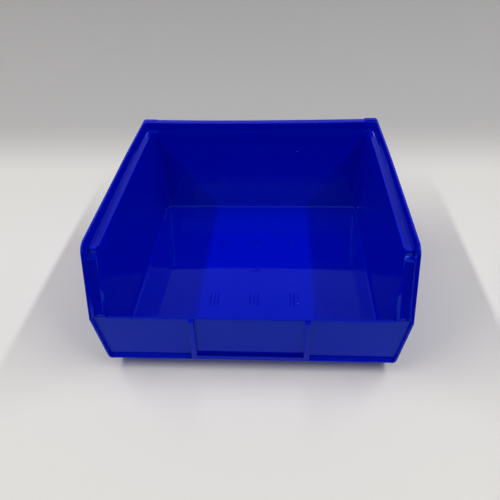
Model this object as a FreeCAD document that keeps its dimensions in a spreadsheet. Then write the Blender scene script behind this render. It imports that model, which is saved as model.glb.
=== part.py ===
"""Stackable storage bin with a hopper front, moulded in one shot of polypropylene.

Every named region of the moulding is an object of this document. The regions
meet face to face and none of them overlap.

Frame: millimetres, +Z up, +X to the right of a person who faces the open
hopper front, +Y from the front to the rear. The origin is the middle of the
bin's box, on the surface it stands on. A "depth" is measured from the frontmost
edge towards the rear, and a "level" is a height above the standing surface.
"""
import FreeCAD, Part
import os
import Sketcher

SHEET = "Sizes"

DIMENSIONS = {
    # The whole bin.
    "width": 279.4,
    "length": 276.2,
    "height": 126.0,
    "skin": 2.4,
    # Base.
    "foot_height": 13.0,
    "foot_skin": 2.2,
    "foot_inset": 6.5,
    "floor_top": 15.5,
    "floor_half": 120.5,
    "rail_half": 132.0,
    "notch_front": 27.0,
    "notch_rear": 31.4,
    "notch_half": 127.7,
    # Stacking ledges and the rim that stands above them.
    "ledge_level": 116.0,
    "ledge_inner": 128.7,
    "ledge_outer": 134.7,
    "skirt_level": 110.0,
    "stop_front": 28.0,
    "stop_rear": 30.4,
    "stop_height": 3.6,
    # Hopper front.
    "frame_top_level": 59.8,
    "frame_top_depth": 1.2,
    "knee_depth": 19.8,
    "frame_foot_half": 130.2,
    "panel_recess": 3.5,
    "lip_top": 14.5,
    "fence_top": 17.6,
    "gutter_floor": 14.4,
    "fence": 1.2,
    "rib_centre": 50.6,
    "rib_width": 5.2,
    "rib_top": 58.0,
    # Rear wall, rim and hanging lip.
    "rear_foot_depth": 258.1,
    "rear_head_depth": 265.0,
    "rear_step": 1.0,
    "rear_rim_front": 266.3,
    "hang_bottom": 111.0,
    "hang_half": 132.0,
    "tab_inner": 123.7,
    "tab_outer": 138.0,
    "tab_depth": 269.0,
    "tab_height": 1.2,
    # Marks on the floor.
    "ridge_width": 1.4,
    "ridge_height": 0.6,
    "ridge_gap": 3.9,
    "ridge_column": 40.6,
    "ridge_front_length": 19.0,
    "ridge_front_depth": 79.5,
    "ridge_rear_length": 15.0,
    "ridge_rear_depth": 177.1,
    "gate_depth": 126.1,
    "gate_radius": 4.0,
    "gate_height": 0.4,
}

SIDES = (("left", -1), ("right", 1))


class Size:
    """A length held both as a number and as a formula of the spreadsheet."""

    def __init__(self, value, formula):
        self.value = value
        self.formula = formula

    def combined(self, sign, other, value):
        return Size(value, f"({self.formula} {sign} {other.formula})")

    def __add__(self, other):
        other = as_size(other)
        return self.combined("+", other, self.value + other.value)

    def __sub__(self, other):
        other = as_size(other)
        return self.combined("-", other, self.value - other.value)

    def __mul__(self, other):
        other = as_size(other)
        return self.combined("*", other, self.value * other.value)

    def __truediv__(self, other):
        other = as_size(other)
        return self.combined("/", other, self.value / other.value)

    def __neg__(self):
        return self * -1


def as_size(length):
    """Wrap a plain number so that it can stand in a formula."""
    if isinstance(length, Size):
        return length
    return Size(length, f"({length})")


def cell(alias):
    """Return the driving dimension that the spreadsheet holds under this alias."""
    return Size(DIMENSIONS[alias], f"{SHEET}.{alias}")


def at_depth(depth):
    """Turn a distance from the frontmost edge into a Y coordinate."""
    return depth - cell("length") / 2


def between(start, end, share):
    """Return the length that lies this share of the way from start to end."""
    return start + (end - start) * share


def write_sheet(doc):
    """Put every driving dimension into the spreadsheet under its alias."""
    sheet = doc.addObject("Spreadsheet::Sheet", SHEET)
    for row, (alias, value) in enumerate(DIMENSIONS.items(), start=1):
        sheet.set(f"A{row}", alias.replace("_", " "))
        sheet.set(f"B{row}", str(value))
        sheet.setAlias(f"B{row}", alias)
    doc.recompute()


# Lines that several regions share.


def side_lean(level):
    """Half width between the side walls' inner faces at a level."""
    share = (level - cell("floor_top")) / (cell("ledge_level") - cell("floor_top"))
    return between(cell("floor_half"), cell("ledge_inner"), share)


def rear_lean(level):
    """Depth of the rear wall's inner face at a level."""
    share = (level - cell("floor_top")) / (cell("ledge_level") - cell("floor_top"))
    return between(cell("rear_foot_depth"), cell("rear_head_depth"), share)


def slope_depth(level):
    """Depth of the hopper's sloping edge at a level."""
    share = (level - cell("frame_top_level")) / (cell("height") - cell("frame_top_level"))
    return between(cell("frame_top_depth"), cell("knee_depth"), share)


def front_depth(level):
    """Depth of the front frame's foremost edge at a level below the slope."""
    share = (level - cell("foot_height")) / (cell("frame_top_level") - cell("foot_height"))
    return cell("frame_top_depth") * share


def panel_face(level):
    """Depth of the front panel's face, which stands back from the frame's front edge."""
    return front_depth(level) + cell("panel_recess")


def frame_half(level):
    """Half width over the front frame at a level below the slope."""
    share = (level - cell("foot_height")) / (cell("frame_top_level") - cell("foot_height"))
    return between(cell("frame_foot_half"), cell("width") / 2, share)


def rim_inner(level):
    """Half width between the rims' inner faces, which lean outwards above the ledge."""
    share = (level - cell("ledge_level")) / (cell("height") - cell("ledge_level"))
    return between(cell("ledge_outer"), cell("width") / 2 - cell("skin"), share)


def channel_depth(level):
    """Depth of the face of the channel that runs down inside the sloping edge."""
    return slope_depth(level) + cell("panel_recess")


# Builders.


def new_body(doc, name):
    """Add an empty body and give it its label."""
    body = doc.addObject("PartDesign::Body", name)
    body.Label = name
    return body


def new_sketch(body, offset, outline):
    """Draw a closed outline on the XY plane, raised to the offset."""
    number = sum(item.isDerivedFrom("Sketcher::SketchObject") for item in body.Group)
    sketch = body.newObject("Sketcher::SketchObject", f"{body.Name}_outline{number}")
    origin_plane = next(item for item in body.Origin.OriginFeatures
                        if item.Role == "XY_Plane")
    sketch.AttachmentSupport = [(origin_plane, "")]
    sketch.MapMode = "FlatFace"
    sketch.setExpression("AttachmentOffset.Base.z", offset.formula)
    corners = [FreeCAD.Vector(across.value, up.value, 0) for across, up in outline]
    count = len(corners)
    for index in range(count):
        sketch.addGeometry(Part.LineSegment(corners[index], corners[(index + 1) % count]))
    for index in range(count):
        following = (index + 1) % count
        sketch.addConstraint(Sketcher.Constraint("Coincident", index, 2, following, 1))
    for index, lengths in enumerate(outline):
        for kind, length in zip(("DistanceX", "DistanceY"), lengths):
            constraint = Sketcher.Constraint(kind, -1, 1, index, 1, length.value)
            place = sketch.addConstraint(constraint)
            sketch.setExpression(f"Constraints[{place}]", length.formula)
    return sketch


def rectangle(left, right, low, high):
    """Corners of a rectangle, in order."""
    return [(left, low), (right, low), (right, high), (left, high)]


def make_prism(doc, name, outline, start, end):
    """Pad a level outline from the start level to the end level."""
    body = new_body(doc, name)
    sketch = new_sketch(body, start, outline)
    pad = body.newObject("PartDesign::Pad", f"{name}_pad")
    pad.Profile = sketch
    pad.setExpression("Length", (end - start).formula)
    body.Tip = pad
    return body


def add_storey(body, name, floors):
    """Loft straight sides through level rectangles: (level, x from, x to, y from, y to)."""
    sketches = []
    for level, *reach in floors:
        sketches.append(new_sketch(body, level, rectangle(*reach)))
    loft = body.newObject("PartDesign::AdditiveLoft", name)
    loft.Profile = sketches[0]
    loft.Sections = sketches[1:]
    loft.Ruled = True
    body.Tip = loft


def make_tower(doc, name, floors):
    """Make a body of one storey."""
    body = new_body(doc, name)
    add_storey(body, f"{name}_loft", floors)
    return body


def cut_pocket(body, outline, top, depth):
    """Sink a pocket of this outline down from the top level."""
    sketch = new_sketch(body, top, outline)
    pocket = body.newObject("PartDesign::Pocket", f"{body.Name}_pocket")
    pocket.Profile = sketch
    pocket.setExpression("Length", depth.formula)
    body.Tip = pocket


def sided(side, inner, outer):
    """Order two half widths as a span along X on the left or the right side."""
    if side < 0:
        return -outer, -inner
    return inner, outer


# Base.


def make_floor(doc):
    half = cell("floor_half") + cell("skin")
    rear = at_depth(cell("rear_foot_depth") + cell("skin"))
    floors = []
    for level in (cell("foot_height"), cell("floor_top")):
        floors.append((level, -half, half, at_depth(panel_face(level) + cell("skin")), rear))
    make_tower(doc, "floor", floors)


def make_foot(doc):
    """The skirt under the floor, as four bars that the bin stands on."""
    half = cell("floor_half") + cell("skin") - cell("foot_inset")
    front = at_depth(cell("panel_recess") + cell("skin") + cell("foot_inset"))
    rear = at_depth(cell("rear_foot_depth") + cell("skin") - cell("foot_inset"))
    bar = cell("foot_skin")
    top = cell("foot_height")
    bars = {
        "foot_front": rectangle(-half, half, front, front + bar),
        "foot_rear": rectangle(-half, half, rear - bar, rear),
        "foot_left": rectangle(-half, bar - half, front + bar, rear - bar),
        "foot_right": rectangle(half - bar, half, front + bar, rear - bar),
    }
    for name, outline in bars.items():
        make_prism(doc, name, outline, top * 0, top)


def make_base_rail(doc, name, side):
    """The flange that rests on the ledge of the bin below, notched for its stop."""
    inner = (cell("floor_half") + cell("skin")) * side
    outer = cell("rail_half") * side
    notch = cell("notch_half") * side
    front = at_depth(panel_face(cell("floor_top")) + cell("skin"))
    rear = at_depth(cell("rear_foot_depth") + cell("skin"))
    notch_front = at_depth(cell("notch_front"))
    notch_rear = at_depth(cell("notch_rear"))
    outline = [(inner, front), (outer, front), (outer, notch_front), (notch, notch_front),
               (notch, notch_rear), (outer, notch_rear), (outer, rear), (inner, rear)]
    make_prism(doc, f"{name}_base_rail", outline,
               cell("foot_height"), cell("floor_top"))


def make_floor_ridges(doc):
    """Six groups of three low ridges, in two rows across the floor."""
    ridges = []
    for row in ("front", "rear"):
        length = cell(f"ridge_{row}_length")
        depth = cell(f"ridge_{row}_depth")
        for column in (-1, 0, 1):
            for place in (-1, 0, 1):
                ridge = doc.addObject("Part::Box", "ridge")
                across = cell("ridge_column") * column + cell("ridge_gap") * place
                ridge.setExpression("Length", cell("ridge_width").formula)
                ridge.setExpression("Width", length.formula)
                ridge.setExpression("Height", cell("ridge_height").formula)
                left = across - cell("ridge_width") / 2
                ridge.setExpression("Placement.Base.x", left.formula)
                ridge.setExpression("Placement.Base.y", at_depth(depth - length / 2).formula)
                ridge.setExpression("Placement.Base.z", cell("floor_top").formula)
                ridges.append(ridge)
    group = doc.addObject("Part::MultiFuse", "floor_ridges")
    group.Label = "floor_ridges"
    group.Shapes = ridges


def make_floor_gate(doc):
    """The low round mark that the moulding gate leaves in the middle of the floor."""
    gate = doc.addObject("Part::Cylinder", "floor_gate")
    gate.Label = "floor_gate"
    gate.setExpression("Radius", cell("gate_radius").formula)
    gate.setExpression("Height", cell("gate_height").formula)
    gate.setExpression("Placement.Base.y", at_depth(cell("gate_depth")).formula)
    gate.setExpression("Placement.Base.z", cell("floor_top").formula)


# Sides.


def make_side_wall(doc, name, side):
    floors = []
    ledge_bottom = cell("ledge_level") - cell("skin")
    front_faces = (
        (cell("floor_top"), panel_face(cell("floor_top"))),
        (cell("frame_top_level"), panel_face(cell("frame_top_level"))),
        (ledge_bottom, channel_depth(ledge_bottom)),
    )
    for level, face in front_faces:
        inner = side_lean(level)
        floors.append((level, *sided(side, inner, inner + cell("skin")),
                       at_depth(face + cell("skin")), at_depth(rear_lean(level))))
    make_tower(doc, f"{name}_side_wall", floors)


def make_stacking_ledge(doc, name, side):
    """The shelf inside the rim, from the stop back to the rear wall."""
    floors = []
    for level in (cell("ledge_level") - cell("skin"), cell("ledge_level")):
        floors.append((level, *sided(side, side_lean(level), cell("ledge_outer")),
                       at_depth(cell("stop_rear")), at_depth(rear_lean(level))))
    make_tower(doc, f"{name}_stacking_ledge", floors)


def make_rim(doc, name, side):
    """The raised outer rim, with the short skirt that hangs below the ledge."""
    half = cell("width") / 2
    ledge_bottom = cell("ledge_level") - cell("skin")
    inner_faces = (
        (cell("skirt_level"), half - cell("skin")),
        (ledge_bottom, cell("ledge_outer")),
        (cell("ledge_level"), cell("ledge_outer")),
        (cell("height"), half - cell("skin")),
    )
    floors = []
    for level, inner in inner_faces:
        floors.append((level, *sided(side, inner, half), at_depth(slope_depth(level)),
                       at_depth(cell("length"))))
    make_tower(doc, f"{name}_rim", floors)


def make_stack_stop(doc, name, side):
    """The ledge's front end, with the low wall that keeps a stacked bin from sliding off."""
    ledge = cell("ledge_level")
    rear = at_depth(cell("stop_rear"))
    floors = []
    for level in (ledge - cell("skin"), ledge):
        floors.append((level, *sided(side, side_lean(level), cell("ledge_outer")),
                       at_depth(channel_depth(level) + cell("skin")), rear))
    body = make_tower(doc, f"{name}_stack_stop", floors)
    wall = (*sided(side, side_lean(ledge), cell("ledge_outer")),
            at_depth(cell("stop_front")), rear)
    add_storey(body, f"{name}_stop_wall", [(ledge, *wall),
                                           (ledge + cell("stop_height"), *wall)])


# Hopper front.


def make_slope_channel(doc, name, side):
    """The recessed band that runs down inside the sloping edge."""
    ledge_bottom = cell("ledge_level") - cell("skin")
    edge_inner = cell("width") / 2 - cell("skin")
    outer_ends = (
        (cell("frame_top_level"), edge_inner),
        (cell("skirt_level"), edge_inner),
        (ledge_bottom, cell("ledge_outer")),
        (cell("ledge_level"), cell("ledge_outer")),
    )
    floors = []
    for level, outer in outer_ends:
        face = channel_depth(level)
        floors.append((level, *sided(side, side_lean(level), outer), at_depth(face),
                       at_depth(face + cell("skin"))))
    make_tower(doc, f"{name}_slope_channel", floors)


def make_slope_edge(doc, name, side):
    """The raised outer edge of the slope, from the front frame up to the rim's skirt."""
    half = cell("width") / 2
    floors = []
    for level in (cell("frame_top_level"), cell("skirt_level")):
        floors.append((level, *sided(side, half - cell("skin"), half),
                       at_depth(slope_depth(level)),
                       at_depth(channel_depth(level) + cell("skin"))))
    make_tower(doc, f"{name}_slope_edge", floors)


def make_front_stile(doc, name, side):
    """The upright of the front frame, which leans in towards the foot of the bin."""
    floors = []
    for level in (cell("foot_height"), cell("frame_top_level")):
        outer = frame_half(level)
        floors.append((level, *sided(side, outer - cell("skin"), outer),
                       at_depth(front_depth(level)),
                       at_depth(panel_face(level) + cell("skin"))))
    make_tower(doc, f"{name}_front_stile", floors)


def make_front_panel(doc):
    floors = []
    for level in (cell("foot_height"), cell("frame_top_level")):
        half = frame_half(level) - cell("skin")
        floors.append((level, -half, half, at_depth(panel_face(level)),
                       at_depth(panel_face(level) + cell("skin"))))
    make_tower(doc, "front_panel", floors)


def make_front_lip(doc, name, side):
    """The part of the bottom lip that lies outside the label area."""
    rib_side = cell("rib_centre") + cell("rib_width") / 2
    floors = []
    for level in (cell("foot_height"), cell("lip_top")):
        reach = sided(side, rib_side, frame_half(level) - cell("skin"))
        floors.append((level, *reach, at_depth(front_depth(level)),
                       at_depth(panel_face(level))))
    make_tower(doc, f"{name}_front_lip", floors)


def make_label_lip(doc):
    """The lip between the ribs, hollowed into a gutter that a label card stands in."""
    half = cell("rib_centre") - cell("rib_width") / 2
    floors = []
    top = cell("fence_top")
    for level in (cell("foot_height"), top):
        floors.append((level, -half, half, at_depth(front_depth(level)),
                       at_depth(panel_face(level))))
    body = make_tower(doc, "label_lip", floors)
    gutter = rectangle(-half, half, at_depth(cell("fence")), at_depth(panel_face(top)))
    cut_pocket(body, gutter, top, top - cell("gutter_floor"))


def make_label_rib(doc, name, side):
    reach = sided(side, cell("rib_centre") - cell("rib_width") / 2,
                  cell("rib_centre") + cell("rib_width") / 2)
    floors = []
    for level in (cell("foot_height"), cell("rib_top")):
        floors.append((level, *reach, at_depth(front_depth(level)),
                       at_depth(panel_face(level))))
    make_tower(doc, f"{name}_label_rib", floors)


# Rear.


def make_rear_wall(doc):
    """The leaning rear wall, from the floor up to the level of the ledges."""
    floors = []
    for level, half in ((cell("floor_top"), cell("floor_half") + cell("skin")),
                        (cell("ledge_level"), cell("ledge_outer"))):
        floors.append((level, -half, half, at_depth(rear_lean(level)),
                       at_depth(rear_lean(level) + cell("skin"))))
    make_tower(doc, "rear_wall", floors)


def make_rear_upper_wall(doc):
    """The band between the step in the rear wall and the rear rim."""
    floors = []
    rim_bottom = cell("height") - cell("skin")
    for level, depth in ((cell("ledge_level"), cell("rear_head_depth") + cell("rear_step")),
                         (rim_bottom, cell("rear_rim_front"))):
        half = rim_inner(level)
        floors.append((level, -half, half, at_depth(depth), at_depth(depth + cell("skin"))))
    make_tower(doc, "rear_upper_wall", floors)


def make_rear_rim(doc):
    floors = []
    for level in (cell("height") - cell("skin"), cell("height")):
        half = rim_inner(level)
        floors.append((level, -half, half, at_depth(cell("rear_rim_front")),
                       at_depth(cell("length"))))
    make_tower(doc, "rear_rim", floors)


def make_rear_hang_lip(doc):
    """The down-turned edge that hooks over a louvred panel or a rail."""
    outline = rectangle(-cell("hang_half"), cell("hang_half"),
                        at_depth(cell("length") - cell("skin")), at_depth(cell("length")))
    make_prism(doc, "rear_hang_lip", outline, cell("hang_bottom"),
               cell("height") - cell("skin"))


def make_rear_tab(doc, name, side):
    """The low pad that stands on the rear rim beside its corner."""
    inner, outer = sided(side, cell("tab_inner"), cell("tab_outer"))
    outline = rectangle(inner, outer, at_depth(cell("tab_depth")), at_depth(cell("length")))
    make_prism(doc, f"{name}_rear_tab", outline, cell("height"),
               cell("height") + cell("tab_height"))


SINGLE_REGIONS = (make_floor, make_foot, make_floor_ridges, make_floor_gate, make_front_panel,
                  make_label_lip, make_rear_wall, make_rear_upper_wall, make_rear_rim,
                  make_rear_hang_lip)
PAIRED_REGIONS = (make_base_rail, make_side_wall, make_stacking_ledge, make_rim,
                  make_stack_stop, make_slope_channel, make_slope_edge, make_front_stile,
                  make_front_lip, make_label_rib, make_rear_tab)


def regions(doc):
    """Return the finished regions: every body, and the two floor marks."""
    bodies = [item for item in doc.Objects if item.isDerivedFrom("PartDesign::Body")]
    return bodies + [doc.getObject("floor_ridges"), doc.getObject("floor_gate")]


def check(doc):
    """Stop if any object of the document has failed or any region has a bad shape."""
    for item in doc.Objects:
        if "Invalid" in item.State or "Error" in item.State:
            raise RuntimeError(f"{item.Label} did not recompute")
    for region in regions(doc):
        if region.Shape.isNull() or not region.Shape.isValid():
            raise RuntimeError(f"{region.Label} has no valid shape")


def write_parts(doc):
    """Write each region to its own STEP file."""
    os.makedirs("parts", exist_ok=True)
    for region in regions(doc):
        region.Shape.exportStep(f"parts/{region.Label}.step")
        print(f"{region.Label}: {region.Shape.Volume / 1000:.2f} cm3")


def main():
    doc = FreeCAD.newDocument("storage_bin")
    write_sheet(doc)
    for make_region in SINGLE_REGIONS:
        make_region(doc)
    for make_region in PAIRED_REGIONS:
        for name, side in SIDES:
            make_region(doc, name, side)
    doc.recompute()
    check(doc)
    write_parts(doc)


main()
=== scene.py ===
"""Looks of a stackable storage bin: one glossy blue moulding, built around its CAD frame.

Lengths inside the builders are in millimetres, and each mesh is scaled to metres at the
end. A "depth" is measured from the frontmost edge towards the rear, a "level" is a height.
"""

import math

import bmesh
import bpy
from mathutils import Matrix, Vector


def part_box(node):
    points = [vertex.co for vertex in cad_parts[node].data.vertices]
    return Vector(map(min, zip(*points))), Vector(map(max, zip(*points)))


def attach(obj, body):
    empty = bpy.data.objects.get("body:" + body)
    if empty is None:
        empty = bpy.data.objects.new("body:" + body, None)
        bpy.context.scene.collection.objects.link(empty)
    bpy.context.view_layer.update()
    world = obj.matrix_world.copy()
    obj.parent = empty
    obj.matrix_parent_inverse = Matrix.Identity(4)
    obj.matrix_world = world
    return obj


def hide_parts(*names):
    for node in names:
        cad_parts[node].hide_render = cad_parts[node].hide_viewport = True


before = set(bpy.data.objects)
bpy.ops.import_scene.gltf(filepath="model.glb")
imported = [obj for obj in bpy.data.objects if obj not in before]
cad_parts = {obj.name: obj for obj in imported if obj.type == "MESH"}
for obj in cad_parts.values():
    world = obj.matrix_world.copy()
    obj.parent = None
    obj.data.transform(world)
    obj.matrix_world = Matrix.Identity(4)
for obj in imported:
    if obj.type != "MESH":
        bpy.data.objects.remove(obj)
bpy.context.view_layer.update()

MM = 1000.0

# Sizes read from the frame.


def low(node):
    """Lowest corner of a CAD node, in millimetres."""
    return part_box(node)[0] * MM


def high(node):
    """Highest corner of a CAD node, in millimetres."""
    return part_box(node)[1] * MM


FRONT = low("label_lip").y


def depth_of(y):
    """Distance of a Y coordinate from the frontmost edge."""
    return y - FRONT


HALF_WIDTH = high("right_rim").x
LENGTH = depth_of(high("right_rim").y)
RIM_LEVEL = high("right_rim").z
SKIRT_LEVEL = low("right_rim").z
LEDGE_LEVEL = high("right_stacking_ledge").z
LEDGE_UNDER = low("right_stacking_ledge").z
SKIN = LEDGE_LEVEL - LEDGE_UNDER
FLOOR_LEVEL = high("floor").z
BASE_LEVEL = low("floor").z
FLOOR_HALF = low("right_side_wall").x
WALL_HEAD_HALF = high("right_side_wall").x - SKIN
REAR_FOOT = depth_of(low("rear_wall").y)
REAR_HEAD = depth_of(high("rear_wall").y) - SKIN
REAR_STEP = depth_of(low("rear_upper_wall").y)
REAR_RIM = depth_of(low("rear_rim").y)
HANG_LEVEL = low("rear_hang_lip").z
PANEL_RECESS = depth_of(low("front_panel").y)
PANEL_TOP = high("front_panel").z
STILE_FOOT_HALF = low("right_front_stile").x + SKIN
SLOPE_FOOT = depth_of(low("right_slope_edge").y)
SLOPE_AT_SKIRT = depth_of(low("right_rim").y)
FENCE_TOP = high("label_lip").z
LIP_TOP = high("right_front_lip").z
GATE_DEPTH = depth_of((low("floor_gate").y + high("floor_gate").y) / 2)

# The moulding's edges. The rim's skin meets the tub's skin in a seam under the ledge.

EDGE = 0.7
KNEE_RADIUS = 10.0
FOOT_CORNER = 2.4
TUB_CORNER = 6.0
POST_HALF = 127.3
SLOPE_TURN = math.atan2(SKIRT_LEVEL - PANEL_TOP, SLOPE_AT_SKIRT - SLOPE_FOOT)
NOSE = KNEE_RADIUS * math.tan(SLOPE_TURN / 2)
RECESS = PANEL_RECESS * math.sin(SLOPE_TURN)
BAND_BACK = RECESS + SKIN
SEAM_DROP = 1.1
SEAM_LEVEL = LEDGE_UNDER - SEAM_DROP
SEAM_BEHIND = BAND_BACK + SEAM_DROP

# The warp of the cooled moulding, and the swell of its floor.

REAR_LIFT = 1.2
REAR_SAG = 0.2
REAR_TWIST = 0.5
SIDE_BOW = 0.4
REAR_PINCH = 0.9
FLOOR_CROWN = 1.0
GATE_MOUND = 0.3
GATE_SPREAD = 8.0


def lerp(a, b, share):
    """The value that lies this share of the way from a to b."""
    return a + (b - a) * share


def smooth(share):
    """A share held between 0 and 1, with a gentle start and end."""
    share = min(max(share, 0.0), 1.0)
    return share * share * (3 - 2 * share)


def wall_inner(level):
    """Half width between the side walls' inner faces."""
    share = (level - FLOOR_LEVEL) / (LEDGE_UNDER - FLOOR_LEVEL)
    return lerp(FLOOR_HALF, WALL_HEAD_HALF, share)


def rear_inner(level):
    """Depth of the rear wall's inner face."""
    share = (level - FLOOR_LEVEL) / (LEDGE_LEVEL - FLOOR_LEVEL)
    return lerp(REAR_FOOT, REAR_HEAD, share)


def front_line(level):
    """Depth of the front frame's foremost edge, which leans back as it rises."""
    return SLOPE_FOOT * min((level - BASE_LEVEL) / (PANEL_TOP - BASE_LEVEL), 1.0)


def panel_face(level):
    """Depth of the front panel's face."""
    return front_line(level) + PANEL_RECESS


def panel_back(level):
    """Depth of the front panel's inner face."""
    return panel_face(level) + SKIN


def outline_half(level):
    """Half width of the bin's outline, which narrows down the front frame."""
    if level >= PANEL_TOP:
        return HALF_WIDTH
    share = (level - BASE_LEVEL) / (PANEL_TOP - BASE_LEVEL)
    half = lerp(STILE_FOOT_HALF, HALF_WIDTH, share)
    rise = FOOT_CORNER - (level - BASE_LEVEL)
    if rise > 0:
        half -= FOOT_CORNER - math.sqrt(max(FOOT_CORNER ** 2 - rise ** 2, 0.0))
    return half


class Track:
    """One lengthwise line of the rim: where it runs on each stretch of the bin.

    Across is measured outwards from the wall's inner face for an inner line, and inwards
    from the outline for an outer line. Behind is measured square to the sloping edge, and
    back from the front frame's foremost edge. A post value of 1 holds the line at the
    inner side of the post that stiffens the slope.
    """

    def __init__(self, inner, side, slope, front, rear, knee, corner, post=0, dip=0):
        self.inner = inner
        self.side_across, self.side_level = side
        self.slope_across, self.slope_behind = slope
        self.front_across, self.front_back = front
        self.rear_depth, self.rear_level = rear
        self.knee = knee
        self.corner = corner
        self.post = post
        self.dip = dip

    def half(self, across, level, post=0.0):
        """Half width of the bin at this line."""
        if self.inner:
            return lerp(wall_inner(level), POST_HALF, post) + across
        return outline_half(level) - across


def rim_tracks():
    """The tracks round the rim's section, from the seam in the wall and back to it."""
    head = REAR_HEAD
    step = REAR_STEP
    hook = LENGTH - SKIN
    seam = (rear_inner(SEAM_LEVEL), SEAM_LEVEL)
    top = RIM_LEVEL
    edge = EDGE
    cut = 0.3 * EDGE
    face = PANEL_RECESS
    back = PANEL_RECESS + SKIN
    ledge = LEDGE_LEVEL
    rows = (
        # Inner, side, slope, front, rear, knee, corner, post, dip.
        (True, (0, SEAM_LEVEL), (0, SEAM_BEHIND), (0, back), seam, 1.0, 6.0),
        (True, (0, ledge - 0.9), (0, RECESS + 2.0), (0, face + 1.4),
         (head, ledge - 2.5), 1.6, 6.0, 0),
        (True, (0.25, ledge - 0.25), (0, RECESS + 0.45), (0, face + 0.5),
         (head + 0.2, ledge - 1.4), 2.4, 6.0, 1),
        (True, (0.9, ledge), (0.35, RECESS), (0, face), (head + 0.45, ledge - 0.5),
         4.0, 6.0, 1),
        (False, (5.9, ledge), (4.6, RECESS), (3.4, face),
         (head + 0.7, ledge + 0.3), 5.0, 5.0, 0, 1.2),
        (False, (5.2, ledge + 0.25), (4.0, RECESS - 0.2), (2.8, face - 0.2),
         (step - 0.1, ledge + 1.2), 5.0, 5.0, 0, 1.0),
        (False, (4.8, ledge + 0.9), (3.6, RECESS - 0.8), (2.6, face - 0.8),
         (step, ledge + 2.4), 5.0, 5.0),
        (False, (2.5, top - edge), (2.4, edge), (2.2, edge),
         (REAR_RIM, top - 1.4), NOSE, 4.0),
        (False, (2.2, top - cut), (2.1, cut), (2.0, cut),
         (REAR_RIM + 0.4, top - 0.4), NOSE, 4.0),
        (False, (1.6, top), (1.5, 0), (1.5, 0), (REAR_RIM + 1.4, top), NOSE, 4.0),
        (False, (edge, top), (edge, 0), (edge, 0), (LENGTH - edge, top), NOSE, 1.6),
        (False, (cut, top - cut), (cut, cut), (cut, cut),
         (LENGTH - cut, top - cut), NOSE, 1.9),
        (False, (0, top - edge), (0, edge), (0, edge), (LENGTH, top - edge), NOSE, 2.2),
        (False, (0, SKIRT_LEVEL + 0.5), (0, BAND_BACK - 0.5), (0, back - 0.5),
         (LENGTH, HANG_LEVEL + 0.5), 3.0, 2.2),
        (False, (0.5, SKIRT_LEVEL), (0.5, BAND_BACK), (0.5, back),
         (LENGTH - 0.5, HANG_LEVEL), 3.0, 1.8),
        (False, (1.9, SKIRT_LEVEL), (1.9, BAND_BACK), (1.9, back),
         (hook + 0.5, HANG_LEVEL), 2.6, 0.8),
        (False, (2.4, SKIRT_LEVEL + 0.5), (2.3, BAND_BACK), (2.2, back),
         (hook, HANG_LEVEL + 0.5), 2.6, 0.6),
        (False, (2.4, LEDGE_UNDER), (2.6, BAND_BACK), (2.6, back),
         (hook, RIM_LEVEL - SKIN), 4.0, 0.6),
        (True, (SKIN, LEDGE_UNDER), (SKIN, BAND_BACK), (SKIN, back),
         (REAR_RIM + SKIN, RIM_LEVEL - SKIN), 4.0, 8.4),
        (True, (SKIN, SEAM_LEVEL), (SKIN, SEAM_BEHIND), (SKIN / 2, back),
         (seam[0] + SKIN, SEAM_LEVEL), 1.0, 8.4),
    )
    return [Track(*row) for row in rows]


# How many steps each stretch of the rim is divided into.

FRONT_STEPS = 9
FOOT_STEPS = 3
SLOPE_STEPS = 8
KNEE_STEPS = 8
SIDE_STEPS = 16
CORNER_STEPS = 8
REAR_STEPS = 14
FOOT_TANGENT = 0.6


def crossing(point, direction, other_point, other_direction):
    """Point where two lines of a plane cross."""
    turn = direction[0] * other_direction[1] - direction[1] * other_direction[0]
    gap = (other_point[0] - point[0], other_point[1] - point[1])
    reach = (gap[0] * other_direction[1] - gap[1] * other_direction[0]) / turn
    return (point[0] + direction[0] * reach, point[1] + direction[1] * reach)


def rounded_corner(corner, before, after, tangent, steps):
    """Points of the arc that rounds a corner, whose tangents have this length."""
    start = (corner[0] - before[0] * tangent, corner[1] - before[1] * tangent)
    turn = math.atan2(before[0] * after[1] - before[1] * after[0],
                      before[0] * after[0] + before[1] * after[1])
    radius = tangent / math.tan(abs(turn) / 2)
    side = math.copysign(1.0, turn)
    centre = (start[0] - before[1] * radius * side, start[1] + before[0] * radius * side)
    points = []
    for step in range(steps + 1):
        angle = turn * step / steps
        arm = (start[0] - centre[0], start[1] - centre[1])
        points.append((centre[0] + arm[0] * math.cos(angle) - arm[1] * math.sin(angle),
                       centre[1] + arm[0] * math.sin(angle) + arm[1] * math.cos(angle)))
    return points


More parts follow.
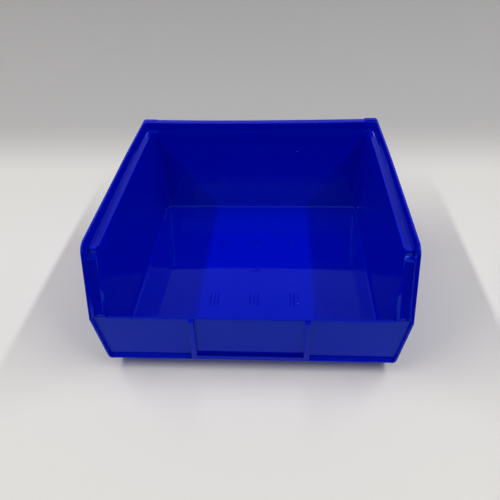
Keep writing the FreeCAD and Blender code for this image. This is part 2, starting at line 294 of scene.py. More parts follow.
def track_points(track):
    """Points of a track on the bin's right half, from the front's foot to the rear's middle."""
    up_slope = (math.cos(SLOPE_TURN), math.sin(SLOPE_TURN))
    behind = track.slope_behind
    on_slope = (SLOPE_FOOT + behind * math.sin(SLOPE_TURN),
                PANEL_TOP - behind * math.cos(SLOPE_TURN))
    rise = PANEL_TOP - BASE_LEVEL
    length = math.hypot(SLOPE_FOOT, rise)
    up_front = (SLOPE_FOOT / length, rise / length)
    foot = (track.front_back, BASE_LEVEL)
    ankle = crossing(foot, up_front, on_slope, up_slope)
    knee = crossing(on_slope, up_slope, (0, track.side_level), (1, 0))
    ankle_arc = rounded_corner(ankle, up_front, up_slope, FOOT_TANGENT, FOOT_STEPS)
    knee_arc = rounded_corner(knee, up_slope, (1, 0), track.knee, KNEE_STEPS)
    points = []

    def add(depth, level, across, post=0.0):
        points.append((track.half(across, level, post), depth, level))

    first = ankle_arc[0]
    for step in range(FRONT_STEPS):
        share = (step / FRONT_STEPS) ** 1.7
        level = lerp(BASE_LEVEL, first[1], share)
        add(lerp(foot[0], first[0], share), level, track.front_across)
    for step, (depth, level) in enumerate(ankle_arc):
        share = smooth(step / FOOT_STEPS)
        add(depth, level, lerp(track.front_across, track.slope_across, share),
            track.post * share)
    last = ankle_arc[-1]
    for step in range(1, SLOPE_STEPS):
        share = step / SLOPE_STEPS
        add(lerp(last[0], knee_arc[0][0], share), lerp(last[1], knee_arc[0][1], share),
            track.slope_across, track.post)
    for step, (depth, level) in enumerate(knee_arc):
        share = smooth(step / KNEE_STEPS)
        level -= track.dip * math.sin(math.pi * step / KNEE_STEPS)
        add(depth, level, lerp(track.slope_across, track.side_across, share),
            track.post * (1 - share))
    radius = track.corner
    rear_start = track.rear_depth - radius
    for step in range(1, SIDE_STEPS):
        share = step / SIDE_STEPS
        add(lerp(knee_arc[-1][0], rear_start, share), track.side_level, track.side_across)
    half = track.half(track.side_across, track.side_level)
    for step in range(CORNER_STEPS + 1):
        share = step / CORNER_STEPS
        angle = share * math.pi / 2
        points.append((half - radius + radius * math.cos(angle),
                       rear_start + radius * math.sin(angle),
                       lerp(track.side_level, track.rear_level, smooth(share))))
    for step in range(1, REAR_STEPS + 1):
        share = step / REAR_STEPS
        points.append(((half - radius) * (1 - share), track.rear_depth, track.rear_level))
    return points


# Mesh helpers.


def settle(point):
    """Warp a point as a cooled moulding does: bowed sides and raised rear corners."""
    across, depth, level = point
    side = across / HALF_WIDTH
    height = smooth(level / RIM_LEVEL)
    rear = smooth((depth - 0.3 * LENGTH) / (0.7 * LENGTH))
    lift = (REAR_LIFT - REAR_TWIST * side) * side ** 2 - REAR_SAG * (1 - side ** 2)
    along = min(max(depth / LENGTH, 0.0), 1.0)
    bow = SIDE_BOW * math.sin(math.pi * along) - REAR_PINCH * smooth(2.5 * along - 1.5)
    return (across + bow * side ** 3 * height, depth, level + lift * rear * height)


def crown(across, depth):
    """Rise of the floor, which swells slightly towards its middle."""
    front = panel_back(FLOOR_LEVEL)
    middle = (front + REAR_FOOT) / 2
    reach = (REAR_FOOT - front) / 2
    side = 1 - min((across / FLOOR_HALF) ** 2, 1.0)
    along = 1 - min(((depth - middle) / reach) ** 2, 1.0)
    away = (across ** 2 + (depth - GATE_DEPTH) ** 2) / GATE_SPREAD ** 2
    return FLOOR_CROWN * side * along + GATE_MOUND * math.exp(-away / 2)


def in_metres(point):
    """Turn (across, depth, level) in millimetres into a place in the frame."""
    across, depth, level = settle(point)
    return Vector((across, depth + FRONT, level)) / MM


def new_piece(name, points, faces, nodes, sharp=35.0):
    """Make a closed mesh piece that stands for these CAD nodes."""
    mesh = bpy.data.meshes.new(name)
    mesh.from_pydata([in_metres(point) for point in points], [], faces)
    work = bmesh.new()
    work.from_mesh(mesh)
    bmesh.ops.remove_doubles(work, verts=work.verts, dist=1e-6)
    bmesh.ops.dissolve_degenerate(work, dist=1e-7, edges=work.edges)
    bmesh.ops.recalc_face_normals(work, faces=work.faces)
    work.to_mesh(mesh)
    work.free()
    mesh.shade_smooth()
    mesh.set_sharp_from_angle(angle=math.radians(sharp))
    piece = bpy.data.objects.new(name, mesh)
    bpy.context.scene.collection.objects.link(piece)
    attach(piece, "root")
    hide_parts(*nodes)
    piece.data.materials.append(plastic)
    return piece


def weigh_normals(piece):
    """Let the large flat faces set the normals, so that they stay flat beside the radii."""
    modifier = piece.modifiers.new("weighted_normal", "WEIGHTED_NORMAL")
    modifier.keep_sharp = True
    modifier.weight = 80


def mirrored(point):
    """The same point on the bin's other side."""
    return (-point[0], point[1], point[2])


def strip_faces(rows, columns, close_rows=False, close_columns=False):
    """Quads of a grid whose points are numbered row by row."""
    faces = []
    for row in range(rows if close_rows else rows - 1):
        following = (row + 1) % rows
        for column in range(columns if close_columns else columns - 1):
            beside = (column + 1) % columns
            faces.append((row * columns + column, row * columns + beside,
                          following * columns + beside, following * columns + column))
    return faces


def build_rim():
    """The rim, ledges, slopes and front frame, swept in one run round the bin."""
    rows = []
    for track in rim_tracks():
        right = track_points(track)
        left = [mirrored(point) for point in reversed(right[:-1])]
        rows.append(right + left)
    columns = len(rows[0])
    points = [point for row in rows for point in row]
    faces = strip_faces(len(rows), columns, close_rows=True)
    faces.append(tuple(row * columns for row in range(len(rows))))
    faces.append(tuple(row * columns + columns - 1 for row in range(len(rows))))
    nodes = ["rear_upper_wall", "rear_rim", "rear_hang_lip"]
    for side in ("left", "right"):
        nodes += [f"{side}_rim", f"{side}_stacking_ledge", f"{side}_slope_channel",
                  f"{side}_slope_edge", f"{side}_front_stile"]
    piece = new_piece("rim_and_frame", points, faces, nodes)
    weigh_normals(piece)
    return piece


# The tub: floor, side walls, rear wall and front panel.

FRONT_CORNER = 3.5
FLOOR_FILLET = 2.5
PANEL_FILLET = 0.4
CROWN_FADE = 20.0
HALF_STEPS = 14
ARC_STEPS = 8
TUB_SLOPE_STEPS = 6
WALL_ROWS = 7
FILLET_ROWS = 6
CAP_ROWS = 6
PANEL_ROUND = 1.1


def seam_points():
    """(depth, level) of the seam above the side wall, from the front corner to the rear one."""
    up_slope = (math.cos(SLOPE_TURN), math.sin(SLOPE_TURN))
    on_slope = (SLOPE_FOOT + SEAM_BEHIND * math.sin(SLOPE_TURN),
                PANEL_TOP - SEAM_BEHIND * math.cos(SLOPE_TURN))
    start_depth = panel_back(PANEL_TOP) + FRONT_CORNER
    start = crossing((start_depth, 0), (0, 1), on_slope, up_slope)
    knee = crossing(on_slope, up_slope, (0, SEAM_LEVEL), (1, 0))
    arc = rounded_corner(knee, up_slope, (1, 0), 1.0, KNEE_STEPS)
    points = []
    for step in range(TUB_SLOPE_STEPS):
        share = step / TUB_SLOPE_STEPS
        points.append((lerp(start[0], arc[0][0], share), lerp(start[1], arc[0][1], share)))
    points += arc
    rear_start = rear_inner(SEAM_LEVEL) - TUB_CORNER
    for step in range(1, SIDE_STEPS):
        points.append((lerp(arc[-1][0], rear_start, step / SIDE_STEPS), SEAM_LEVEL))
    return points


def seam_level_at(depth):
    """Level of the seam where it follows the slope."""
    start = SLOPE_FOOT + SEAM_BEHIND * math.sin(SLOPE_TURN)
    return PANEL_TOP - SEAM_BEHIND * math.cos(SLOPE_TURN) + (depth - start) * math.tan(SLOPE_TURN)


class Column:
    """One upright line of the tub's skin: its inner and outer side and their tops."""

    def __init__(self, inner, outer, inner_top, outer_top, inward, fillet, outer_fillet,
                 rounded=False):
        self.inner = inner
        self.outer = outer
        self.inner_top = inner_top
        self.outer_top = outer_top
        self.inward = inward
        self.fillet = fillet
        self.outer_fillet = outer_fillet
        self.rounded = rounded

    def inner_wall(self):
        """Rows down the inner side, from its top to the floor's radius."""
        foot = FLOOR_LEVEL + self.fillet
        for row in range(WALL_ROWS):
            level = lerp(self.inner_top, foot, row / WALL_ROWS)
            yield (*self.inner(level), level)

    def bend(self, side, floor, radius):
        """Rows of the radius between the wall and a floor at this level."""
        for row in range(FILLET_ROWS + 1):
            angle = row / FILLET_ROWS * math.pi / 2
            level = floor + radius * (1 - math.sin(angle))
            across, depth = side(level)
            reach = radius * (1 - math.cos(angle))
            yield (across + self.inward[0] * reach, depth + self.inward[1] * reach, level)

    def outer_wall(self):
        """Rows down the outer side, between its top and the underside's radius."""
        foot = BASE_LEVEL + self.outer_fillet
        for row in range(1, WALL_ROWS):
            level = lerp(self.outer_top, foot, row / WALL_ROWS)
            yield (*self.outer(level), level)

    def cap(self):
        """Points over the top, from the outer side to the inner side."""
        start = (*self.outer(self.outer_top), self.outer_top)
        end = (*self.inner(self.inner_top), self.inner_top)
        for row in range(CAP_ROWS):
            share = row / CAP_ROWS
            lift = 0.0
            if self.rounded:
                angle = share * math.pi
                share = (1 - math.cos(angle)) / 2
                lift = PANEL_ROUND * math.sin(angle)
            yield (lerp(start[0], end[0], share), lerp(start[1], end[1], share),
                   lerp(start[2], end[2], share) + lift)


def front_column(share):
    """A column of the front panel, whose place is a share of the way to the corner."""
    def inner(level):
        return ((wall_inner(level) - FRONT_CORNER) * share, panel_back(level))

    def outer(level):
        return ((wall_inner(level) - FRONT_CORNER) * share, panel_face(level))

    top = PANEL_TOP - PANEL_ROUND
    return Column(inner, outer, top, top, (0, 1), FLOOR_FILLET, PANEL_FILLET,
                  rounded=True)


def front_corner_column(share):
    """A column of the corner between the front panel and the side wall."""
    angle = share * math.pi / 2
    bend = FRONT_CORNER * (1 - math.cos(angle))
    end = share <= 0.5
    tuck = min((share - 0.5) / 0.25, 1.0)

    def inner(level):
        return (wall_inner(level) - FRONT_CORNER * (1 - math.sin(angle)),
                panel_back(level) + bend)

    def outer(level):
        face = panel_face(level)
        if end:
            return (wall_inner(level) - FRONT_CORNER * (1 - 2 * share) - 0.01, face)
        behind = panel_back(level) - PANEL_FILLET
        behind += (FRONT_CORNER + PANEL_FILLET) * max((share - 0.75) / 0.25, 0.0)
        return (wall_inner(level) + SKIN * tuck, lerp(face, behind, tuck))

    top = max(PANEL_TOP - PANEL_ROUND, seam_level_at(panel_back(PANEL_TOP) + bend))
    outer_top = PANEL_TOP - PANEL_ROUND
    if not end:
        outer_top = lerp(outer_top, seam_level_at(outer(top)[1]), tuck)
    return Column(inner, outer, top, outer_top, (-math.sin(angle), math.cos(angle)),
                  FLOOR_FILLET, lerp(PANEL_FILLET, FLOOR_FILLET + SKIN, smooth(share)),
                  rounded=end)


def side_column(depth, top):
    """A column of the side wall under a point of its seam."""
    start = panel_back(PANEL_TOP) + FRONT_CORNER
    share = (depth - start) / (rear_inner(SEAM_LEVEL) - TUB_CORNER - start)

    def place(level):
        lean = rear_inner(level) - rear_inner(SEAM_LEVEL)
        return depth + lean * share ** 3

    def inner(level):
        return (wall_inner(level), place(level) if top >= SEAM_LEVEL else depth)

    def outer(level):
        return (wall_inner(level) + SKIN, place(level) if top >= SEAM_LEVEL else depth)

    return Column(inner, outer, top, top, (-1, 0), FLOOR_FILLET, FLOOR_FILLET + SKIN)


def rear_corner_column(share):
    """A column of the corner between the side wall and the rear wall."""
    angle = share * math.pi / 2
    arm = (math.cos(angle), math.sin(angle))

    def at(level, radius):
        return (wall_inner(level) - TUB_CORNER + radius * arm[0],
                rear_inner(level) - TUB_CORNER + radius * arm[1])

    return Column(lambda level: at(level, TUB_CORNER), lambda level: at(level, TUB_CORNER + SKIN),
                  SEAM_LEVEL, SEAM_LEVEL, (-arm[0], -arm[1]), FLOOR_FILLET, FLOOR_FILLET + SKIN)


def rear_column(share):
    """A column of the rear wall, whose place is a share of the way to the corner."""
    def inner(level):
        return ((wall_inner(level) - TUB_CORNER) * share, rear_inner(level))

    def outer(level):
        return ((wall_inner(level) - TUB_CORNER) * share, rear_inner(level) + SKIN)

    return Column(inner, outer, SEAM_LEVEL, SEAM_LEVEL, (0, -1), FLOOR_FILLET,
                  FLOOR_FILLET + SKIN)


def tub_columns():
    """The columns of the right half, from the front's middle to the rear's middle."""
    columns = [front_column(step / HALF_STEPS) for step in range(HALF_STEPS)]
    columns += [front_corner_column(step / ARC_STEPS) for step in range(ARC_STEPS)]
    columns += [side_column(depth, level) for depth, level in seam_points()]
    columns += [rear_corner_column(step / ARC_STEPS) for step in range(ARC_STEPS)]
    columns += [rear_column(1 - step / HALF_STEPS) for step in range(HALF_STEPS + 1)]
    return columns


def filled_outline(outline, corner, opposite):
    """Grid of points that fills a symmetric loop, whose corners are at these numbers.

    The loop starts at the middle of its front. The grid's rows run from front to rear.
    """
    count = len(outline)
    right = [outline[index] for index in range(corner, opposite + 1)]
    left = [outline[(count - index) % count] for index in range(corner, opposite + 1)]
    front = [outline[(index + count) % count] for index in range(-corner, corner + 1)]
    rear = [outline[index] for index in range(count - opposite, opposite - 1, -1)]
    columns = len(front)
    rows = len(right)
    grid = []
    for row in range(rows):
        along = row / (rows - 1)
        line = []
        for column in range(columns):
            across = column / (columns - 1)
            point = []
            for axis in range(2):
                value = lerp(front[column][axis], rear[column][axis], along)
                value += lerp(left[row][axis], right[row][axis], across)
                value -= lerp(lerp(front[0][axis], front[-1][axis], across),
                              lerp(rear[0][axis], rear[-1][axis], across), along)
                point.append(value)
            line.append(tuple(point))
        grid.append(line)
    return grid


def build_tub():
    """The floor, side walls, rear wall and front panel as one closed skin."""
    half = tub_columns()
    loops = []
    for column in half:
        loop = list(column.bend(column.outer, BASE_LEVEL, column.outer_fillet))[::-1]
        loop += list(column.outer_wall())[::-1]
        loop += list(column.cap())
        inside = list(column.inner_wall())
        inside += list(column.bend(column.inner, FLOOR_LEVEL, column.fillet))
        for across, depth, level in inside:
            share = 1 - smooth((level - FLOOR_LEVEL) / CROWN_FADE)
            loop.append((across, depth, level + crown(across, depth) * share))
        loops.append(loop)
    loops += [[mirrored(point) for point in loop] for loop in reversed(loops[1:-1])]
    rows = len(loops[0])
    count = len(loops)
    points = [point for loop in loops for point in loop]
    faces = strip_faces(count, rows, close_rows=True)
    corner = HALF_STEPS + ARC_STEPS // 2
    opposite = len(half) - 1 - corner
    for row, top_side in ((0, False), (rows - 1, True)):
        outline = [loop[row] for loop in loops]
        grid = filled_outline(outline, corner, opposite)
        start = len(points)
        for line in grid:
            for across, depth in line:
                level = FLOOR_LEVEL + crown(across, depth) if top_side else BASE_LEVEL
                points.append((across, depth, level))
        width = len(grid[0])
        faces += [tuple(start + index for index in face)
                  for face in strip_faces(len(grid), width)]
    nodes = ("floor", "left_side_wall", "right_side_wall", "rear_wall", "front_panel")
    piece = new_piece("tub", points, faces, nodes)
    weigh_normals(piece)
    return piece


# Details.


def swept(name, sections, nodes, closed=False):
    """A closed piece swept through these loops, with flat ends unless it runs in a ring."""
    width = len(sections[0])
    points = [point for section in sections for point in section]
    faces = strip_faces(len(sections), width, close_rows=closed, close_columns=True)
    if not closed:
        faces.append(tuple(range(width)))
        faces.append(tuple(len(points) - width + index for index in range(width)))
    return new_piece(name, points, faces, nodes)


def block(name, lower, upper, radius, nodes, steps=4):
    """A closed block between two outlines, with all its edges rounded."""
    work = bmesh.new()
    count = len(lower)
    corners = [work.verts.new(point) for point in list(lower) + list(upper)]
    sides = [tuple(range(count)), tuple(range(count, 2 * count))]
    for index in range(count):
        following = (index + 1) % count
        sides.append((index, following, following + count, index + count))
    for side in sides:
        work.faces.new([corners[index] for index in side])
    bmesh.ops.recalc_face_normals(work, faces=work.faces)
    bmesh.ops.bevel(work, geom=list(work.edges), offset=radius, segments=steps,
                    profile=0.5, affect="EDGES")
    work.verts.index_update()
    points = [tuple(vertex.co) for vertex in work.verts]
    faces = [tuple(vertex.index for vertex in face.verts) for face in work.faces]
    work.free()
    return new_piece(name, points, faces, nodes, sharp=60.0)


def outline(left, right, near, far, level):
    """Four points round a level rectangle."""
    return [(left, near, level), (right, near, level), (right, far, level), (left, far, level)]


def level_block(name, box, radius, nodes, taper=0.0):
    """A rounded block that fills a box (left, right, near, far, bottom, top)."""
    left, right, near, far, bottom, top = box
    lower = outline(left, right, near, far, bottom)
    upper = outline(left + taper, right - taper, near + taper, far - taper, top)
    return block(name, lower, upper, radius, nodes)


def on_side(side, inner, outer):
    """Left and right end of a span that is mirrored to the left side."""
    return (inner, outer) if side == "right" else (-outer, -inner)


def rounded_section(across, corners):
    """A section's loop at this place across, with each corner given its own radius.

    A corner is (depth, level, radius). A radius of 0 keeps it sharp.
    """
    loop = []
    count = len(corners)
    for index, (depth, level, radius) in enumerate(corners):
        previous = corners[index - 1]
        following = corners[(index + 1) % count]
        if radius == 0:
            loop.append((across, depth, level))
            continue
        before = (depth - previous[0], level - previous[1])
        after = (following[0] - depth, following[1] - level)
        before = tuple(value / math.hypot(*before) for value in before)
        after = tuple(value / math.hypot(*after) for value in after)
        loop += [(across, *point)
                 for point in rounded_corner((depth, level), before, after, radius, 4)]
    return loop


def round_section(across, depth, level, radius, steps):
    """A level circle round this place."""
    return [(across + radius * math.cos(math.tau * step / steps),
             depth + radius * math.sin(math.tau * step / steps), level)
            for step in range(steps)]


FENCE = 1.2
GUTTER = BASE_LEVEL + 1.4
LIP_ROUND = 0.4


def swept_across(name, near, far, stations, corners, nodes):
    """A closed strip that runs across the bin with this section."""
    sections = []
    for step in range(stations + 1):
        sections.append(rounded_section(lerp(near, far, step / stations), corners))
    return swept(name, sections, nodes)


def build_label_lip():
    """The fence and gutter that hold the foot of a label, between the two ribs."""
    reach = high("label_lip").x + 1.0
    face = panel_face(GUTTER)
    hidden = face + 1.6
    corners = (
        (hidden, BASE_LEVEL, 0), (0.0, BASE_LEVEL, 0.5), (0.15, FENCE_TOP, LIP_ROUND),
        (FENCE, FENCE_TOP, LIP_ROUND), (FENCE, GUTTER, 0.4), (face - 0.4, GUTTER, 0.4),
        (face + 0.3, GUTTER + 0.7, 0), (hidden, GUTTER + 0.7, 0),
    )
    return swept_across("label_lip_piece", -reach, reach, 24, corners, ["label_lip"])


def build_front_lip(side):
    """The solid lip along the foot of the front, outside a label rib."""
    near, far = on_side(side, low("right_front_lip").x - 1.0,
                        high("right_front_lip").x + 0.3)
    face = panel_face(LIP_TOP)
    corners = (
        (face + 1.6, BASE_LEVEL, 0), (0.0, BASE_LEVEL, 0.5), (0.05, LIP_TOP, 0.6),
        (face - 0.1, LIP_TOP, 0.5), (face + 0.2, LIP_TOP + 0.9, 0),
        (face + 1.6, LIP_TOP + 0.9, 0),
    )
    return swept_across(f"{side}_front_lip_piece", near, far, 16, corners,
                        [f"{side}_front_lip"])


def build_label_rib(side):
    """An upright rib beside the label, flush with the front frame."""
    node = "right_label_rib"
    left, right = on_side(side, low(node).x, high(node).x)
    top = high(node).z
    lower = outline(left, right, 0.0, panel_face(BASE_LEVEL) + 0.6, BASE_LEVEL)
    upper = outline(left + 0.15, right - 0.15, front_line(top), panel_face(top) + 0.6, top)
    return block(f"{side}_label_rib_piece", lower, upper, 0.55, [f"{side}_label_rib"])


STOP_LENGTH = 6.6


def build_stack_stop(side):
    """The low stop on the ledge that keeps a stacked bin from sliding forwards."""
    node = "right_stack_stop"
    left, right = on_side(side, low(node).x - 0.5, high(node).x - 0.5)
    rear = depth_of(high(node).y)
    box = (left, right, rear - STOP_LENGTH, rear, LEDGE_UNDER + 0.6, high(node).z + 0.4)
    return level_block(f"{side}_stack_stop_piece", box, 0.5, [f"{side}_stack_stop"], taper=0.1)


TOE_INNER = 128.6
TOE_OUTER = 133.2
TOE_TOP = PANEL_TOP + 2.9
TOE_HEIGHT = 1.9
TOE_LENGTH = 2.0


def build_toe(side):
    """A small step at the foot of the slope, beside the panel's end."""
    left, right = on_side(side, TOE_INNER, TOE_OUTER)
    near = SLOPE_FOOT + PANEL_RECESS + 0.2
    box = (left, right, near, near + TOE_LENGTH, TOE_TOP - TOE_HEIGHT, TOE_TOP)
    return level_block(f"{side}_toe_piece", box, 0.35, [])


DOT_LEVEL = LEDGE_LEVEL - 26.6
DOT_PLACES = (-44.2, -1.0, 44.6)
# Radius and rise off the wall, from the dot's foot to its middle.
DOT_PROFILE = ((2.2, -0.4), (2.2, 0.1), (1.9, 0.45), (1.2, 0.5), (0.5, 0.3))
DOT_STEPS = 24


def build_wall_dots():
    """Three low round marks across the rear wall."""
    wall = rear_inner(DOT_LEVEL)
    for number, place in enumerate(DOT_PLACES):
        sections = []
        for radius, rise in DOT_PROFILE:
            loop = round_section(place, DOT_LEVEL, wall - rise, radius, DOT_STEPS)
            sections.append([(across, depth, level) for across, level, depth in loop])
        swept(f"wall_dot_{number}", sections, [])


LEFT_TAB_DROP = 0.8


def build_rear_tab(side):
    """A low tab on the rear rim. The left one is almost flush."""
    node = "right_rear_tab"
    left, right = on_side(side, low(node).x, high(node).x)
    top = high(node).z - (0.0 if side == "right" else LEFT_TAB_DROP)
    box = (left, right, depth_of(low(node).y), LENGTH, RIM_LEVEL - 1.2, top)
    return level_block(f"{side}_rear_tab_piece", box, 0.5, [f"{side}_rear_tab"], taper=0.25)


NOTCH_PLAY = 1.0


def build_base_rail(side):
    """The flange that rests on the ledge of the bin below, notched for its stop."""
    node = "right_base_rail"
    inner = FLOOR_HALF - 2.2
    outer = high(node).x
    near = depth_of(low(node).y) - 0.6
    far = depth_of(high(node).y)
    notch = low("right_stack_stop").x - 0.4
    stop_rear = depth_of(high("right_stack_stop").y)
    notch_near = stop_rear - SKIN - NOTCH_PLAY
    notch_far = stop_rear + NOTCH_PLAY
    corners = ((inner, near), (outer, near), (outer, notch_near), (notch, notch_near),
               (notch, notch_far), (outer, notch_far), (outer, far), (inner, far))
    turn = 1 if side == "right" else -1
    lower, upper = ([(turn * across, depth, level) for across, depth in corners]
                    for level in (low(node).z, high(node).z))
    return block(f"{side}_base_rail_piece", lower, upper, 0.6, [f"{side}_base_rail"])


RING_CORNER = 6.0
RING_EDGE = 0.5
RING_STEPS = 8


def build_foot():
    """The ring under the floor that the bin stands on."""
    half = high("foot_front").x
    near = depth_of(low("foot_front").y)
    far = depth_of(high("foot_rear").y)
    width = high("foot_right").x - low("foot_right").x
    corner = RING_CORNER
    top = BASE_LEVEL + 0.4
    cut = 0.3 * RING_EDGE
    # Inset and level of the bar's section, from its outer side to its inner side.
    profile = ((0.0, top), (0.0, RING_EDGE), (cut, cut), (RING_EDGE, 0.0),
               (width - RING_EDGE, 0.0), (width - cut, cut), (width, RING_EDGE), (width, top))
    sections = []
    centres = ((half - corner, far - corner, 0), (-half + corner, far - corner, 90),
               (-half + corner, near + corner, 180), (half - corner, near + corner, 270))
    for across, depth, start in centres:
        for step in range(RING_STEPS + 1):
            angle = math.radians(start + 90 * step / RING_STEPS)
            arm = (math.cos(angle), math.sin(angle))
            sections.append([(across + arm[0] * (corner - inset),
                              depth + arm[1] * (corner - inset), level)
                             for inset, level in profile])
    nodes = ["foot_front", "foot_rear", "foot_left", "foot_right"]
    return swept("foot_ring", sections, nodes, closed=True)


# Share of the gate's radius and of its rise, from its rim to its middle.
GATE_PROFILE = ((0.9, 0.55), (0.78, 1.0), (0.62, 1.0), (0.5, 0.5), (0.36, 0.35), (0.24, 0.9),
                (0.12, 1.0))
GATE_STEPS = 32


def build_gate():
    """The round mark of the moulding gate, raised from the floor's middle."""
    node = "floor_gate"
    radius = high(node).x
    rise = high(node).z - low(node).z
    profile = [(radius, -0.4), (radius, 0.1)]
    profile += [(radius * reach, rise * height) for reach, height in GATE_PROFILE]
    level = FLOOR_LEVEL + crown(0, GATE_DEPTH)
    sections = [round_section(0.0, GATE_DEPTH, level + height, reach, GATE_STEPS)
                for reach, height in profile]
    return swept("gate_mark", sections, [node])


RIDGE_WIDTH = 1.4
RIDGE_GAP = 3.9
FRONT_RIDGE_LENGTH = 19.0
REAR_RIDGE_LENGTH = 15.0
RIDGE_SWELL = 1.3
RIDGE_STEPS = 6
# How far a ridge has closed in, and the share of its height that it has reached.
RIDGE_PROFILE = ((0.0, -0.4), (0.1, 0.45), (0.4, 0.8), (0.75, 1.0))


def ridge_points(place, near, length, rise):
    """Rings of a ridge with rounded ends, from its foot to its top."""
    points = []
    round_half = RIDGE_WIDTH / 2
    for share, size in RIDGE_PROFILE:
        half = round_half * (1 - share * 0.85)
        end_reach = round_half * (1 - share * 0.75)
        for centre, turn in ((near + round_half, math.pi), (near + length - round_half, 0.0)):
            for step in range(RIDGE_STEPS + 1):
                angle = turn - math.pi / 2 + math.pi * step / RIDGE_STEPS
                across = place - half * math.sin(angle)
                depth = centre + end_reach * math.cos(angle)
                level = FLOOR_LEVEL + crown(across, depth) + rise * size
                points.append((across, depth, level))
    return points


def build_ridges():
    """Six groups of three low ridges on the floor."""
    node = "floor_ridges"
    first = depth_of(low(node).y)
    last = depth_of(high(node).y)
    rise = (high(node).z - low(node).z) * RIDGE_SWELL
    column = high(node).x - RIDGE_WIDTH / 2 - RIDGE_GAP
    ring = 2 * (RIDGE_STEPS + 1)
    rings = len(RIDGE_PROFILE)
    points = []
    faces = []
    rows = ((first, FRONT_RIDGE_LENGTH), (last - REAR_RIDGE_LENGTH, REAR_RIDGE_LENGTH))
    for near, length in rows:
        for middle in (-column, 0.0, column):
            for place in (middle - RIDGE_GAP, middle, middle + RIDGE_GAP):
                start = len(points)
                points += ridge_points(place, near, length, rise)
                faces += [tuple(start + index for index in face)
                          for face in strip_faces(rings, ring, close_columns=True)]
                for first_index in (start, start + (rings - 1) * ring):
                    faces.append(tuple(first_index + index for index in range(ring)))
    return new_piece("floor_marks", points, faces, [node], sharp=50.0)


# Material.


def add_node(tree, kind, **values):
    """Add a shader node and set its inputs by name."""
    node = tree.nodes.new(kind)
    for name, value in values.items():
        node.inputs[name].default_value = value
    return node


def add_noise(tree, place, **values):
    """A noise texture in this space."""
    noise = add_node(tree, "ShaderNodeTexNoise", **values)
    tree.links.new(place, noise.inputs["Vector"])
    return noise.outputs["Fac"]


def add_range(tree, value, source, target):
    """Carry a value over from one range to another."""
    node = tree.nodes.new("ShaderNodeMapRange")
    node.inputs["From Min"].default_value, node.inputs["From Max"].default_value = source
    node.inputs["To Min"].default_value, node.inputs["To Max"].default_value = target
    tree.links.new(value, node.inputs["Value"])
    return node.outputs["Result"]


def add_bump(tree, height, **values):
    """A bump map made from this height."""
    bump = add_node(tree, "ShaderNodeBump", **values)
    tree.links.new(height, bump.inputs["Height"])
    return bump


def plastic_material():
    """Glossy blue polypropylene: a faint flow texture, a slight orange peel and fine scuffs."""
    material = bpy.data.materials.new("bin_plastic")
    material.use_nodes = True
    tree = material.node_tree
    tree.nodes.clear()
    output = tree.nodes.new("ShaderNodeOutputMaterial")
    surface = tree.nodes.new("ShaderNodeBsdfPrincipled")
    surface.inputs["Base Color"].default_value = (0.0, 0.0035, 0.52, 1.0)
    surface.inputs["IOR"].default_value = 1.49
    surface.inputs["Specular IOR Level"].default_value = 0.5
    surface.inputs["Specular Tint"].default_value = (0.15, 0.50, 1.0, 1.0)
    tree.links.new(surface.outputs["BSDF"], output.inputs["Surface"])
    place = tree.nodes.new("ShaderNodeTexCoord").outputs["Object"]

    # Gloss: cloudy, with scuffs that run in one direction.
    cloud = add_noise(tree, place, Scale=14.0, Detail=4.0, Roughness=0.6)
    gloss = add_range(tree, cloud, (0.3, 0.7), (0.035, 0.07))
    stretch = add_node(tree, "ShaderNodeMapping", Rotation=(0.4, 0.2, 0.9),
                       Scale=(12.0, 160.0, 60.0))
    tree.links.new(place, stretch.inputs["Vector"])
    scuff = add_noise(tree, stretch.outputs["Vector"], Scale=3.0, Detail=5.0, Roughness=0.7)
    scuffs = add_range(tree, scuff, (0.58, 0.78), (0.0, 0.05))
    total = tree.nodes.new("ShaderNodeMath")
    total.operation = "ADD"
    tree.links.new(gloss, total.inputs[0])
    tree.links.new(scuffs, total.inputs[1])
    tree.links.new(total.outputs["Value"], surface.inputs["Roughness"])

    # Relief: slow swells under a fine orange peel.
    swell = add_noise(tree, place, Scale=28.0, Detail=2.0)
    peel = add_noise(tree, place, Scale=900.0, Detail=2.0)
    coarse = add_bump(tree, swell, Strength=0.10, Distance=0.0006)
    fine = add_bump(tree, peel, Strength=0.03, Distance=0.00005)
    tree.links.new(coarse.outputs["Normal"], fine.inputs["Normal"])
    tree.links.new(fine.outputs["Normal"], surface.inputs["Normal"])
    return material


def table_material():
    """Matt studio paper with a slight tooth: white in front, and greyed towards the far end by
    painted shade where the paper curves up into the wall.
    """
    material = bpy.data.materials.new("studio_paper")
    material.use_nodes = True
    tree = material.node_tree
    surface = tree.nodes["Principled BSDF"]
    surface.inputs["Specular IOR Level"].default_value = 0.2
    place = tree.nodes.new("ShaderNodeTexCoord").outputs["Object"]
    axes = tree.nodes.new("ShaderNodeSeparateXYZ")
    tree.links.new(place, axes.inputs["Vector"])
    # Painted shade: the paper's colour darkens from the table towards the wall behind the bin.
    far = add_range(tree, axes.outputs["Y"], (PAINTED_SHADE_START, PAINTED_SHADE_END), (0.0, 1.0))
    shade = tree.nodes.new("ShaderNodeValToRGB")
    shade.color_ramp.interpolation = "EASE"
    shade.color_ramp.elements[0].color = (0.80, 0.785, 0.765, 1.0)
    shade.color_ramp.elements[1].color = (0.525, 0.52, 0.52, 1.0)
    tree.links.new(far, shade.inputs["Fac"])
    tree.links.new(shade.outputs["Color"], surface.inputs["Base Color"])
    tooth = add_noise(tree, place, Scale=260.0, Detail=3.0)
    rough = add_range(tree, tooth, (0.0, 1.0), (0.6, 0.8))
    tree.links.new(rough, surface.inputs["Roughness"])
    bump = add_bump(tree, tooth, Strength=0.04, Distance=0.0003)
    tree.links.new(bump.outputs["Normal"], surface.inputs["Normal"])
    return material


# Stage, lights and camera, in metres.

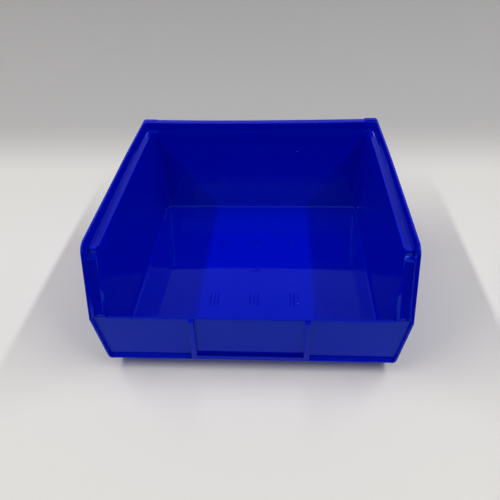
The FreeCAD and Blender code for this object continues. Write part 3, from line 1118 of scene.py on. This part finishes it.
TABLE_FRONT = -0.31
BEND_START = 0.21
BEND_RADIUS = 0.44
BEND_STEPS = 24
WALL_TOP = 0.84
SHEET_HALF = 1.8
SHEET_COLUMNS = 19
# Where the paper's painted shade begins and where it is full, as Y places behind the bin.
PAINTED_SHADE_START = 0.23
PAINTED_SHADE_END = 0.37
WORLD_STRENGTH = 0.024
CAMERA_PLACE = (0.028138, -0.472570, 0.385910)
CAMERA_PITCH = 0.637062
CAMERA_YAW = 0.073568
CAMERA_ROLL = -0.036692
CAMERA_LENS = 39.03
LAMPS = (
    # Name, place, aim, size, power, colour.
    ("left_lamp", (-2.4, -0.1, 3.2), (0.0, -0.1, 0.1), (5.0, 0.14), 80.0, (1.0, 0.985, 0.96)),
    ("right_lamp", (2.25, -0.1, 3.2), (0.0, -0.1, 0.1), (5.0, 0.14), 78.0, (1.0, 0.99, 0.975)),
    ("ceiling", (0.0, -0.4, 3.4), (0.0, -0.4, 0.0), (4.0, 4.0), 26.0, (0.97, 0.98, 1.0)),
    ("front_fill", (0.0, -2.6, 1.7), (0.0, 0.0, 0.1), (3.0, 1.2), 12.0, (0.97, 0.98, 1.0)),
)


def build_backdrop():
    """A sheet of paper that lies flat and curves up into a wall behind the bin."""
    profile = [(TABLE_FRONT, 0.0), (TABLE_FRONT / 2, 0.0), (0.0, 0.0), (BEND_START, 0.0)]
    for step in range(1, BEND_STEPS + 1):
        angle = math.pi / 2 * step / BEND_STEPS
        profile.append((BEND_START + BEND_RADIUS * math.sin(angle),
                        BEND_RADIUS * (1 - math.cos(angle))))
    profile.append((BEND_START + BEND_RADIUS, (BEND_RADIUS + WALL_TOP) / 2))
    profile.append((BEND_START + BEND_RADIUS, WALL_TOP))
    across = [lerp(-SHEET_HALF, SHEET_HALF, column / (SHEET_COLUMNS - 1))
              for column in range(SHEET_COLUMNS)]
    points = [(x, y, z) for y, z in profile for x in across]
    faces = strip_faces(len(profile), len(across))
    mesh = bpy.data.meshes.new("backdrop")
    mesh.from_pydata(points, [], [tuple(reversed(face)) for face in faces])
    mesh.shade_smooth()
    mesh.materials.append(table_material())
    backdrop = bpy.data.objects.new("backdrop", mesh)
    bpy.context.scene.collection.objects.link(backdrop)


def add_light(name, place, aim, size, power, colour):
    """A soft rectangular light that faces a point."""
    data = bpy.data.lights.new(name, "AREA")
    data.shape = "RECTANGLE"
    data.size, data.size_y = size
    data.energy = power
    data.color = colour
    light = bpy.data.objects.new(name, data)
    light.location = place
    direction = Vector(aim) - Vector(place)
    light.rotation_euler = direction.to_track_quat("-Z", "Y").to_euler()
    bpy.context.scene.collection.objects.link(light)
    return light


def add_world(strength):
    """An even, dim light from all round."""
    world = bpy.data.worlds.new("studio")
    world.use_nodes = True
    background = world.node_tree.nodes["Background"]
    background.inputs["Color"].default_value = (0.97, 0.985, 1.0, 1.0)
    background.inputs["Strength"].default_value = strength
    bpy.context.scene.world = world


def add_camera(place, pitch, yaw, roll, lens):
    """A camera at this place that looks down by pitch; the angles are in radians."""
    forward = Vector((-math.sin(yaw) * math.cos(pitch), math.cos(yaw) * math.cos(pitch),
                      -math.sin(pitch)))
    level = Vector((math.cos(yaw), math.sin(yaw), 0.0))
    upright = level.cross(forward)
    right = level * math.cos(roll) + upright * math.sin(roll)
    up = upright * math.cos(roll) - level * math.sin(roll)
    data = bpy.data.cameras.new("camera")
    data.sensor_width = 36.0
    data.lens = lens
    data.clip_start = 0.01
    camera = bpy.data.objects.new("camera", data)
    camera.matrix_world = Matrix((
        (right.x, up.x, -forward.x, place[0]),
        (right.y, up.y, -forward.y, place[1]),
        (right.z, up.z, -forward.z, place[2]),
        (0.0, 0.0, 0.0, 1.0)))
    bpy.context.scene.collection.objects.link(camera)
    bpy.context.scene.camera = camera


plastic = plastic_material()
build_rim()
build_tub()
build_label_lip()
for side in ("left", "right"):
    build_front_lip(side)
    build_label_rib(side)
    build_stack_stop(side)
    build_rear_tab(side)
    build_base_rail(side)
    build_toe(side)
build_foot()
build_gate()
build_ridges()
build_wall_dots()

build_backdrop()
for lamp in LAMPS:
    add_light(*lamp)
add_world(WORLD_STRENGTH)
add_camera(CAMERA_PLACE, CAMERA_PITCH, CAMERA_YAW, CAMERA_ROLL, CAMERA_LENS)
bpy.context.scene.view_settings.view_transform = "Standard"
